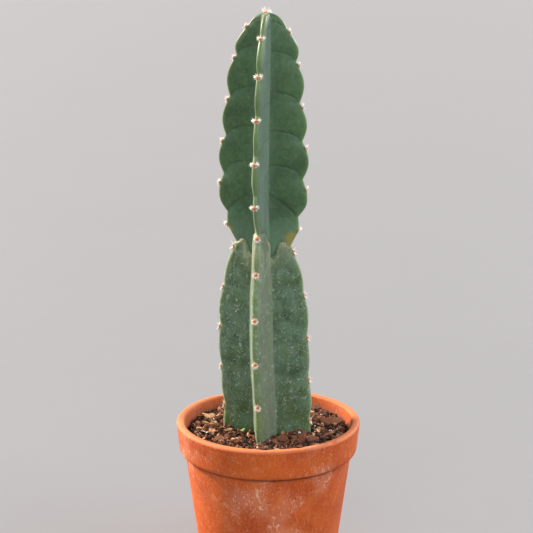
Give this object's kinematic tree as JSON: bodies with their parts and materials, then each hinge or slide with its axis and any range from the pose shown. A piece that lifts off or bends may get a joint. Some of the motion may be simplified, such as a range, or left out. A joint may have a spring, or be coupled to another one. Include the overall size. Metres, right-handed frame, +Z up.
{
  "type": "potted cereus cactus",
  "caption": "Ribbed columnar cactus with a narrow waist between growth periods and woolly spined areoles, growing in barky soil in a banded clay pot with a drain hole.",
  "frame": {"origin": "centre of the pot's underside, on the surface the pot stands on", "axes": "+Z up along the pot's axis; -Y towards the front, which one rib almost faces; +X to the right seen from the front"},
  "size_m": [0.1398, 0.1398, 0.4316],
  "materials": {
    "terracotta": "unglazed fired clay, dry and matt, with pale mineral bloom",
    "cactus_skin": "waxy, semi-matt green skin with a grey-blue bloom and corky scars",
    "areole_wool": "tan felt with short cream spines",
    "soil": "crumbly moist potting soil",
    "bark": "rough broken pine bark",
    "perlite": "chalky white porous grain",
    "leaf": "dry pale green leaf"
  },
  "bodies": {
    "root": {"clay_pot": "terracotta", "cactus_stem": "cactus_skin", "areole_front_01": "areole_wool", "areole_front_02": "areole_wool", "areole_front_03": "areole_wool", "areole_front_04": "areole_wool", "areole_front_05": "areole_wool", "areole_front_06": "areole_wool", "areole_front_07": "areole_wool", "areole_front_08": "areole_wool", "areole_front_09": "areole_wool", "areole_front_10": "areole_wool", "areole_right_01": "areole_wool", "areole_right_02": "areole_wool", "areole_right_03": "areole_wool", "areole_right_04": "areole_wool", "areole_right_05": "areole_wool", "areole_right_06": "areole_wool", "areole_right_07": "areole_wool", "areole_right_08": "areole_wool", "areole_right_09": "areole_wool", "areole_right_10": "areole_wool", "areole_right_11": "areole_wool", "areole_back_01": "areole_wool", "areole_back_02": "areole_wool", "areole_back_03": "areole_wool", "areole_back_04": "areole_wool", "areole_back_05": "areole_wool", "areole_back_06": "areole_wool", "areole_back_07": "areole_wool", "areole_back_08": "areole_wool", "areole_back_09": "areole_wool", "areole_back_10": "areole_wool", "areole_left_01": "areole_wool", "areole_left_02": "areole_wool", "areole_left_03": "areole_wool", "areole_left_04": "areole_wool", "areole_left_05": "areole_wool", "areole_left_06": "areole_wool", "areole_left_07": "areole_wool", "areole_left_08": "areole_wool", "areole_left_09": "areole_wool", "areole_left_10": "areole_wool", "areole_left_11": "areole_wool", "crown_tuft": "areole_wool", "bark_chip_1": "bark", "bark_chip_2": "bark", "bark_chip_3": "bark", "bark_chip_4": "bark", "bark_chip_5": "bark", "bark_chip_6": "bark", "bark_chip_7": "bark", "bark_chip_8": "bark", "bark_chip_9": "bark", "perlite_grain_1": "perlite", "perlite_grain_2": "perlite", "perlite_grain_3": "perlite", "leaf_scrap": "leaf", "potting_soil": "soil"}
  },
  "joints": []
}
